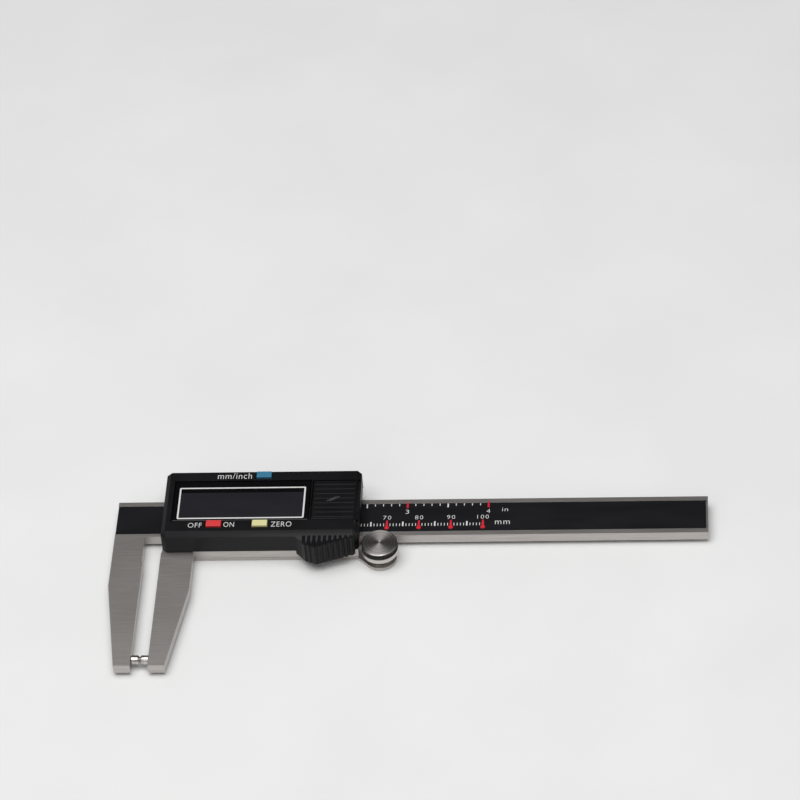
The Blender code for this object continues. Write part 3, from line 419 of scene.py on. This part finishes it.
for tenth in range(TENTHS + 1):
    x = tenth * INCH / 10
    if tenth % 10 == 0:
        left, right = x - INCH_MARK_HALF, x + INCH_MARK_HALF
        block(red_marks, (left, INCH_MARK_FOOT, LABEL_TOP), (right, label_edge, LABEL_TOP + INK))
        foot = label_edge + INCH_MARK_GAP
        block(red_marks, (left, foot, STEEL_TOP), (right, INCH_MARK_TOP, STEEL_TOP + INK))
        if tenth:
            half = INCH_ONE_HALF if tenth == 10 else INCH_FIGURE_HALF
            box = (x - half, INCH_FIGURE[0]), (x + half, INCH_FIGURE[1])
            lettering(white_marks, str(tenth // 10), *box, LABEL_TOP, THINNED)
    else:
        half, length = TENTH_TICK if tenth % 5 else HALF_INCH_TICK
        low = (x - half, label_edge - length, LABEL_TOP)
        block(white_marks, low, (x + half, label_edge, LABEL_TOP + INK))
lettering(white_marks, "mm", (103.8, -3.25), (108.4, -1.75), LABEL_TOP, 0.008, 1.15)
lettering(white_marks, "in", (105.9, 2.35), (107.7, 3.9), LABEL_TOP, THINNED, 1.1)
make_piece("scale_printing_white", white_marks, white_ink, "beam", "label_film")
make_piece("scale_printing_red", red_marks, red_ink, "beam", "label_film")


# Contact pins. Each is turned from hardened steel, pressed into its jaw, and narrows to a flat measuring
# face. The two faces meet between the jaw tips.
TURNED_STEPS = 64
RING_PITCH = 0.5


def turned(profile, steps=TURNED_STEPS):
    """A shape turned about Z from its profile of radii and heights in millimetres."""
    shape = bmesh.new()
    points = [shape.verts.new((radius * MM, 0, height * MM)) for radius, height in profile]
    lines = [shape.edges.new(pair) for pair in zip(points, points[1:])]
    bmesh.ops.spin(
        shape, geom=points + lines, cent=(0, 0, 0), axis=(0, 0, 1), angle=2 * math.pi,
        steps=steps, use_merge=True,
    )
    bmesh.ops.remove_doubles(shape, verts=shape.verts, dist=1e-6)
    bmesh.ops.recalc_face_normals(shape, faces=shape.faces)
    return shape


def turned_steel(name, centre, axis, dark, light):
    """Turned bright steel. The tool leaves fine rings round the axis, so the shine is stretched across them
    and each highlight opens into two fans. The feed is about 0.1 mm a turn. The few rings that show are
    drawn 0.5 mm apart."""
    sockets = {"Metallic": 1.0, "Anisotropic": 0.7, "Anisotropic Rotation": 0.25}
    material, tree, shader = start_finish(name, sockets)
    tangent = add(tree, "ShaderNodeTangent", direction_type="RADIAL", axis="XYZ"[axis.index(1)])
    place = add(tree, "ShaderNodeTexCoord").outputs["Object"]
    moved = add(tree, "ShaderNodeVectorMath", {0: place, 1: centre}, operation="SUBTRACT").outputs[0]
    across = [1 - share for share in axis]
    flat = add(tree, "ShaderNodeVectorMath", {0: moved, 1: across}, operation="MULTIPLY").outputs[0]
    radius = add(tree, "ShaderNodeVectorMath", {0: flat}, operation="LENGTH").outputs["Value"]
    height = add(tree, "ShaderNodeVectorMath", {0: moved, 1: axis}, operation="DOT_PRODUCT").outputs["Value"]
    path = add(tree, "ShaderNodeMath", {0: radius, 1: height}, operation="ADD").outputs[0]
    ringed = {"W": path, "Scale": 1 / (RING_PITCH * MM), "Detail": 2.0}
    rings = add(tree, "ShaderNodeTexNoise", ringed, noise_dimensions="1D").outputs["Fac"]
    share = add(tree, "ShaderNodeMapRange", {"Value": rings, "From Min": 0.3, "From Max": 0.7}).outputs[0]
    colour = add(tree, "ShaderNodeMix", {0: share, 6: srgb(dark), 7: srgb(light)}, data_type="RGBA")
    gloss = add(tree, "ShaderNodeMapRange", {"Value": rings, "To Min": 0.28, "To Max": 0.36})
    relief = add(tree, "ShaderNodeBump", {"Height": rings, "Distance": 0.002 * MM, "Strength": 0.5})
    tree.links.new(tangent.outputs["Tangent"], shader.inputs["Tangent"])
    tree.links.new(colour.outputs[2], shader.inputs["Base Color"])
    tree.links.new(gloss.outputs[0], shader.inputs["Roughness"])
    tree.links.new(relief.outputs["Normal"], shader.inputs["Normal"])
    return material


PIN_SHOWN = 2.675
for name, side, body in (("fixed_contact_pin", 1, "beam"), ("moving_contact_pin", -1, "slider")):
    low, high = reach(name)
    radius = (high.z - low.z) / 2
    jaw_edge = high.x - PIN_SHOWN if side > 0 else low.x + PIN_SHOWN
    root = at(jaw_edge, (low.y + high.y) / 2, (low.z + high.z) / 2)
    pin = turned([
        (0, PIN_SHOWN),
        (radius - 0.5, PIN_SHOWN),
        (radius - 0.42, PIN_SHOWN - 0.05),
        (radius - 0.06, PIN_SHOWN - 0.45),
        (radius, PIN_SHOWN - 0.6),
        (radius, 0.2),
        (radius - 0.06, 0.15),
        (0, 0.15),
    ])
    home = Matrix.Translation(root) @ Matrix.Rotation(side * math.pi / 2, 4, "Y")
    bmesh.ops.transform(pin, matrix=home, verts=pin.verts)
    look = turned_steel(name + "_steel", root, (1, 0, 0), "#b5b0ab", "#dcd8d3")
    make_piece(name + "_turned", pin, look, body, "turned_steel", name)


# End stop. A small ground plate is screwed to the beam's back, and keeps the slider from running off.
# Its screw, like all the small ones here, is slotted, of plain steel that machining leaves dull grey.
SCREW_BREAK = 0.06
screw_steel = mottled(
    "machined_screw_steel", (0.5, 0.5, 0.5), "#77736f", "#99948f", (0.28, 0.42), (0.25, 0.25, 0.25), 0.003,
    Metallic=1.0,
)
stop = refined("end_stop", EDGE_BREAK)
make_piece("end_stop_plate", stop, ground_steel, "beam", "ground_steel", "end_stop")


def slotted_screw(name, body):
    """A node's screw with its sharp edges broken."""
    make_piece(name + "_slotted", refined(name, SCREW_BREAK, 1), screw_steel, body, "screw_steel", name)


slotted_screw("end_stop_screw", "beam")


# Slider frame. A ground steel rail above and below the beam, bridged over its front at both ends, with
# the moving jaw in one piece with the lower rail.
sliding = refined("slider_frame", EDGE_BREAK)
make_piece("slider_frame_and_moving_jaw", sliding, ground_steel, "slider", "ground_steel", "slider_frame")


# Gib. A rolled bronze strip between the upper rail and the beam, pressed on by two headless set screws,
# takes up the slider's play. Rolling leaves long streaks in the bronze.
bronze = mottled(
    "rolled_phosphor_bronze", (12, 0.6, 0.6), "#a8763f", "#c8955a", (0.3, 0.45), (6, 0.3, 0.3), 0.003,
    Metallic=1.0,
)
make_piece("gib_bronze_strip", refined("gib_strip", EDGE_BREAK), bronze, "slider", "bronze", "gib_strip")
for number in (1, 2):
    slotted_screw(f"gib_screw_{number}", "slider")


# Lock screw. A thumb screw in the upper rail, turned and straight knurled from bright steel, whose tip
# presses the gib on the beam.
LOCK_TEETH = 36
LOCK_HEAD_LENGTH = 3.5
LOCK_KNURL_DEPTH = 0.18


def knurl(shape, radius, low, high, teeth, depth):
    """Presses straight teeth in a turned band: each second line of points is sunk by the tooth's depth."""
    for point in shape.verts:
        out = math.hypot(point.co.x, point.co.y) / MM
        if abs(out - radius) < 0.01 and low - 0.01 <= point.co.z / MM <= high + 0.01:
            turn = round(math.atan2(point.co.y, point.co.x) / (math.pi / teeth))
            if turn % 2:
                share = (radius - depth) / radius
                point.co.x *= share
                point.co.y *= share


low, high = reach("lock_screw")
rim = (high.x - low.x) / 2
end = high.y - low.y
start = end - LOCK_HEAD_LENGTH
lock = turned([
    (0, end - 0.25),
    (rim - 1.0, end - 0.25),
    (rim - 0.8, end),
    (rim - 0.35, end),
    (rim, end - 0.35),
    (rim, start + 0.35),
    (rim - 0.35, start),
    (1.2, start),
    (1.2, 0.3),
    (0.9, 0),
    (0, 0),
], 2 * LOCK_TEETH)
knurl(lock, rim, start + 0.35, end - 0.35, LOCK_TEETH, LOCK_KNURL_DEPTH)
lock_middle = at((low.x + high.x) / 2, low.y, (low.z + high.z) / 2)
home = Matrix.Translation(lock_middle) @ Matrix.Rotation(-math.pi / 2, 4, "X")
bmesh.ops.transform(lock, matrix=home, verts=lock.verts)
look = turned_steel("lock_screw_steel", lock_middle, (0, 1, 0), "#a8a39e", "#cfcac5")
make_piece("lock_thumb_screw", lock, look, "lock_screw", "turned_steel", "lock_screw", crease=25)


# Back plate. A ground plate closes the slider's channel behind the beam, held by four small screws, and
# its lobe carries the thumb roller's axle. Four longer screws come through the frame into the housing.
backing = refined("back_plate", EDGE_BREAK)
make_piece("back_plate_ground", backing, ground_steel, "slider", "ground_steel", "back_plate")
for number in range(1, 5):
    slotted_screw(f"back_plate_screw_{number}", "slider")
    slotted_screw(f"housing_screw_{number}", "slider")


# Thumb roller. A steel disc turned in one piece with its hub, on a pin in the back plate's lobe. The
# knurled band under its face is what the thumb turns, and the plain band below rolls on the beam's edge.
ROLLER_TEETH = 60
ROLLER_KNURL_DEPTH = 0.24
AXLE_BREAK = 0.1
KNURL_HEIGHT = 1.65
ROLLER_THICKNESS = 4.0
HUB_RADIUS = 3.0
BORE_RADIUS = 1.25
BORE_ROOF = 1.4
low, high = reach("thumb_roller")
rim = (high.x - low.x) / 2
face = high.z
knurl_foot = face - KNURL_HEIGHT
underside = face - ROLLER_THICKNESS
roller = turned([
    (0, face - 0.06),
    (0.2, face - 0.06),
    (0.26, face),
    (rim - 0.38, face),
    (rim - 0.05, face - 0.3),
    (rim, face - 0.36),
    (rim, knurl_foot),
    (rim - 0.25, knurl_foot - 0.15),
    (rim - 0.35, knurl_foot - 0.35),
    (rim - 0.2, knurl_foot - 0.5),
    (rim, knurl_foot - 0.62),
    (rim, underside + 0.3),
    (rim - 0.1, underside + 0.1),
    (rim - 0.35, underside),
    (HUB_RADIUS, underside),
    (HUB_RADIUS, low.z + 0.1),
    (HUB_RADIUS - 0.1, low.z),
    (BORE_RADIUS, low.z),
    (BORE_RADIUS, BORE_ROOF),
    (0, BORE_ROOF),
], 2 * ROLLER_TEETH)
knurl(roller, rim, knurl_foot, face - 0.36, ROLLER_TEETH, ROLLER_KNURL_DEPTH)
roller_middle = at((low.x + high.x) / 2, (low.y + high.y) / 2, 0)
bmesh.ops.translate(roller, verts=roller.verts, vec=roller_middle)
# The knurled band's faces take the second finish, which is painted dark for shade and reflection.
for band in roller.faces:
    out = (band.calc_center_median() - roller_middle) / MM
    if out.xy.length > rim - 0.4 and knurl_foot - 0.7 < out.z < face - 0.36:
        band.material_index = 1
look = turned_steel("thumb_roller_steel", roller_middle, (0, 0, 1), "#c2bdb9", "#dad5d1")
wheel = make_piece(
    "thumb_roller_knurled", roller, look, "thumb_roller", "turned_steel", "thumb_roller", crease=25
)
# The knurled band is painted much darker than the turned face: painted shade between its teeth and a painted
# dark reflection.
knurl_steel_painted_shade = mottled(
    "knurled_steel_painted_shade", (0.4, 0.4, 0.4), "#2c2a29", "#45423f", (0.4, 0.55), (0.2, 0.2, 0.2), 0.005,
    Metallic=1.0,
)
wheel.data.materials.append(knurl_steel_painted_shade)
axle = refined("roller_axle", AXLE_BREAK)
make_piece("roller_axle_pin", axle, screw_steel, "slider", "screw_steel", "roller_axle")


# Circuit board. Glass epoxy under green solder mask, whose tracks show as slightly raised paler patches,
# with the controller under a dull cap of moulded black epoxy.
board_green = mottled(
    "solder_mask_on_glass_epoxy", (1.2, 1.2, 1.2), "#0f3d22", "#1c6a3a", (0.35, 0.45), (1.2, 1.2, 1.2), 0.03
)
dress(board_green, "circuit_board")
chip_epoxy = mottled(
    "moulded_black_epoxy", (0.4, 0.4, 0.4), "#16161a", "#1f1f22", (0.45, 0.55), (0.2, 0.2, 0.2), 0.01
)
dress(chip_epoxy, "controller_chip")


# Display. A glossy liquid crystal glass in a satin white moulded carrier, joined to the board by a zebra
# strip of matt silicone rubber, which shows dark and pale layers. The same rubber makes the button pads.
display_glass = mottled(
    "polarised_display_glass", (20, 5, 5), "#2c2f2c", "#343834", (0.1, 0.2), (9, 9, 9), 0.001
)
dress(display_glass, "lcd_glass")
carrier_white = mottled(
    "moulded_white_abs", (5, 5, 5), "#d5d4cf", "#dfded9", (0.45, 0.55), (0.3, 0.3, 0.3), 0.005
)
dress(carrier_white, "lcd_carrier")
silicone = mottled(
    "moulded_silicone_rubber", (0.25, 8, 8), "#37373b", "#5b5b60", (0.7, 0.8), (0.4, 0.4, 0.4), 0.005
)
dress(silicone, "zebra_strip", "unit_button_pad", "power_button_pad", "zero_button_pad")


# Battery. A nickel-plated button cell lies can side up between two gold-plated spring strips. Its bright
# can shows faint streaks across it, left by rolling.
cell_steel = mottled(
    "nickel_plated_steel_can", (5, 0.4, 5), "#c4c1bb", "#d2cfc9", (0.18, 0.32), (1, 1, 1), 0.002, Metallic=1.0
)
dress(cell_steel, "coin_cell")
dress(gold_plate, "battery_contact_positive", "battery_contact_negative")


# Housing. One moulding of black ABS with chamfered front edges and a ribbed thumb rest that stands out
# below it, screwed to the slider frame from behind. The mould's spark-eroded walls leave the plastic with
# a fine even grain and a low sheen.
def black_abs(name, dark, light, roughness):
    """Moulded black ABS. The mould's grain is about 0.1 mm, and is drawn 0.35 mm, because a finer one
    doesn't show."""
    return mottled(
        name, (9, 9, 9), dark, light, roughness, (0.35, 0.35, 0.35), 0.007, Specular_IOR_Level=0.22
    )


HOUSING_ROUNDING = 0.45
FOLD = math.radians(20)
SIDE_EDGE = 14.2
SHELL_MARGIN = 1.5
SHELL_FLOOR = 1.0
SHORTEST_EDGE = 1.2
housing_low, housing_high = reach("housing")
cover_low, cover_high = reach("battery_cover")
housing = merged("housing")


def on_outer_shell(edge):
    """Whether an edge stands out on the housing's outer sides and chamfers, and not round an opening."""
    x, y, z = ((edge.verts[0].co + edge.verts[1].co) / 2 - ZERO) / MM
    near_end = min(x - housing_low.x, housing_high.x - x) < SHELL_MARGIN
    near_side = SIDE_EDGE - abs(y) < SHELL_MARGIN
    return (near_end or near_side) and z > SHELL_FLOOR and edge.calc_length() > SHORTEST_EDGE * MM


housing_abs = black_abs("spark_eroded_black_abs", "#0b0b0d", "#111114", (0.38, 0.5))
pairs = [e for e in housing.edges if len(e.link_faces) == 2]
folded = [e for e in pairs if e.calc_face_angle_signed() > FOLD]
round_edges(housing, [e for e in folded if on_outer_shell(e)], HOUSING_ROUNDING, 4)
make_piece("housing_moulding", housing, housing_abs, "slider", "black_plastic", "housing")


# Thumb rest. The same moulding's ribs stand along the wall of the rest, which runs out to a peak and back
# in a long slope, and give the thumb a grip.
REST_WALL = [
    (42.3, -14.2),
    (45.55, -17.7),
    (48.65, housing_low.y),
    (49.1, housing_low.y),
    (cover_high.x + 0.2, -14.5),
]
RIB_PITCH = 1.63
RIB_WIDTH = 0.95
RIB_PROUD = 0.3
RIB_TOP = 6.6
RIB_ROOT = -13.9
RIB_ROUNDING = 0.28
FIRST_RIB = 45.15
RIB_COUNT = 10


def rest_wall(x):
    """How far out the rest's wall stands at x, and its slope there."""
    for (x0, y0), (x1, y1) in zip(REST_WALL, REST_WALL[1:]):
        if x0 <= x <= x1:
            slope = (y1 - y0) / (x1 - x0)
            return y0 + slope * (x - x0), slope
    return REST_WALL[-1][1], 0.0


ribs = bmesh.new()
for number in range(RIB_COUNT):
    x = FIRST_RIB + number * RIB_PITCH
    wall, slope = rest_wall(x)
    low = (x - RIB_WIDTH / 2, wall - RIB_PROUD, housing_low.z + 0.1)
    high = (x + RIB_WIDTH / 2, RIB_ROOT, RIB_TOP + RIB_PROUD)
    rib = block(ribs, low, high)
    outer = min(v.co.y for v in rib)
    for point in rib:
        if abs(point.co.y - outer) < 1e-6:
            point.co.y += slope * (point.co.x - at(x, 0, 0).x)
    round_edges(ribs, {e for v in rib for e in v.link_edges}, RIB_ROUNDING, 3)
make_piece("thumb_rest_ribs", ribs, housing_abs, "slider", "black_plastic")


# Display window. A polished acrylic plate, printed black behind, set in a step of the housing. A white
# line is printed round the display, and the display shows through as a pane, painted slightly lighter
# for the display and for a reflection on it.
LINE_WIDTH = 0.5
LINE_OUT = 0.3
LINE_CORNER = 0.5
PANE_GAP = 0.1
PANE_SHADE = 1.7
window_acrylic = mottled(
    "polished_black_acrylic", (30, 12, 12), "#08080a", "#0c0c0e", (0.06, 0.14), (18, 18, 18), 0.01,
    Specular_IOR_Level=0.4,
)
window = refined("display_window", 0.25, 3)
make_piece("window_plate", window, window_acrylic, "slider", "window_plastic", "display_window")

window_top = reach("display_window")[1].z
lcd_low, lcd_high = reach("lcd_glass")
line_low = Vector((lcd_low.x - 0.3, lcd_low.y - LINE_OUT))
line_high = Vector((lcd_high.x + 0.4, lcd_high.y + LINE_OUT))
middle = (line_low + line_high) / 2
size = (line_high - line_low) * MM
line = bmesh.new()
place = Matrix.Translation(at(middle.x, middle.y, window_top)) @ Matrix.Diagonal((size.x, size.y, 1.0, 1.0))
corners = bmesh.ops.create_grid(line, x_segments=1, y_segments=1, size=0.5, matrix=place)["verts"]
bmesh.ops.bevel(
    line, geom=corners, offset=LINE_CORNER * MM, offset_type="OFFSET", segments=5, profile=0.5,
    affect="VERTICES", clamp_overlap=True, material=-1,
)
panel = line.faces[:]
bmesh.ops.inset_region(
    line, faces=panel, thickness=LINE_WIDTH * MM, use_boundary=True, use_even_offset=True
)
bmesh.ops.delete(line, geom=panel, context="FACES_ONLY")
thicken(line, line.faces[:])
make_piece("window_white_line", line, white_ink, "slider", "window_plastic")

display_and_reflection_pane = mottled(
    "display_and_painted_reflection", (26, 8, 8), "#222226", "#27272c", (0.08, 0.16), (18, 18, 18), 0.005,
    Specular_IOR_Level=0.4,
)
inside = LINE_WIDTH + PANE_GAP
pane = bmesh.new()
pane_low = (line_low.x + inside, line_low.y + inside, window_top - 0.5)
# The pane stops PANE_SHADE short of the line at the top, which leaves a strip of painted shade there.
pane_high = (line_high.x - inside, line_high.y - inside - PANE_SHADE, window_top + INK / 2)
block(pane, pane_low, pane_high)
make_piece("display_pane", pane, display_and_reflection_pane, "slider", "lcd_grey")


# Battery cover. A ribbed lid of the same black ABS that slides off to the right on two tongues. Its ribs
# run along the slide, and two slanted bars, rubbed pale by the thumb, mark where to push.
COVER_RIB_PITCH = 2.0
COVER_RIB_WIDTH = 1.3
COVER_RIB_COUNT = 8
COVER_RIB_PROUD = 0.18
COVER_RIB_ROUNDING = 0.17
MARK_X = 53.6
MARK_Y = 0.5
MARK_LENGTH = 3.6
MARK_WIDTH = 0.2
MARK_SHIFT = 0.45
MARK_PROUD = 0.06
MARK_TURN = math.radians(34)
cover_abs = black_abs("ribbed_black_abs", "#0c0c0e", "#121215", (0.36, 0.46))
cover = refined("battery_cover", 0.2, 2)
first_rib = (cover_low.y + cover_high.y) / 2 - (COVER_RIB_COUNT - 1) * COVER_RIB_PITCH / 2
for number in range(COVER_RIB_COUNT):
    y = first_rib + number * COVER_RIB_PITCH
    low = (cover_low.x + 0.5, y - COVER_RIB_WIDTH / 2, cover_high.z - 0.4)
    high = (cover_high.x - 1.3, y + COVER_RIB_WIDTH / 2, cover_high.z + COVER_RIB_PROUD)
    block(cover, low, high, COVER_RIB_ROUNDING, 3)
make_piece("battery_cover_ribbed", cover, cover_abs, "battery_cover", "black_plastic", "battery_cover")

rubbed_abs = black_abs("rubbed_black_abs", "#47484b", "#6c6d70", (0.3, 0.4))
mark = bmesh.new()
mark_top = cover_high.z + COVER_RIB_PROUD + MARK_PROUD
for shift in (-MARK_SHIFT, MARK_SHIFT):
    low = (MARK_X + shift - MARK_LENGTH / 2, MARK_Y - MARK_WIDTH / 2, cover_high.z - 0.2)
    high = (MARK_X + shift + MARK_LENGTH / 2, MARK_Y + MARK_WIDTH / 2, mark_top)
    bar = block(mark, low, high)
    turn = Matrix.Rotation(MARK_TURN, 3, "Z")
    bmesh.ops.rotate(mark, verts=bar, cent=at(MARK_X + shift, MARK_Y, 0), matrix=turn)
    round_edges(mark, {e for v in bar for e in v.link_edges}, 0.05)
make_piece("battery_cover_mark", mark, rubbed_abs, "battery_cover", "black_plastic")


# Buttons. Three caps of moulded coloured ABS stand 0.5 mm through the housing's face, each over its
# rubber pad. They are even and satin, with the slightest grain.
BUTTON_COLOURS = {
    "unit_button": ("blue_plastic", "#357290", "#3c7a98"),
    "power_button": ("red_plastic", "#cf3436", "#d83e40"),
    "zero_button": ("yellow_plastic", "#d3ce97", "#dad59f"),
}
for name, (slot, dark, light) in BUTTON_COLOURS.items():
    look = mottled(
        "moulded_" + slot.replace("plastic", "abs"), (1.5, 1.5, 1.5), dark, light, (0.35, 0.45),
        (0.25, 0.25, 0.25), 0.003, Specular_IOR_Level=0.4,
    )
    make_piece(name + "_cap", refined(name, 0.22, 3), look, name, slot, name)


# Housing lettering. Plain words in white ink are screened on the housing's face, each beside the button
# that it belongs to, and stand as proud as the scale's.
HOUSING_WORDS = (
    ("mm/inch", (16.7, 9.85), (27.4, 12.45)),
    ("OFF", (8.9, -11.2), (13.2, -9.2)),
    ("ON", (20.0, -11.05), (23.3, -9.0)),
    ("ZERO", (34.8, -11.15), (41.2, -9.0)),
)
housing_words = bmesh.new()
for words, low, high in HOUSING_WORDS:
    lettering(housing_words, words, low, high, housing_high.z, 0.008, 1.1)
make_piece("housing_lettering", housing_words, white_ink, "slider", "black_plastic")
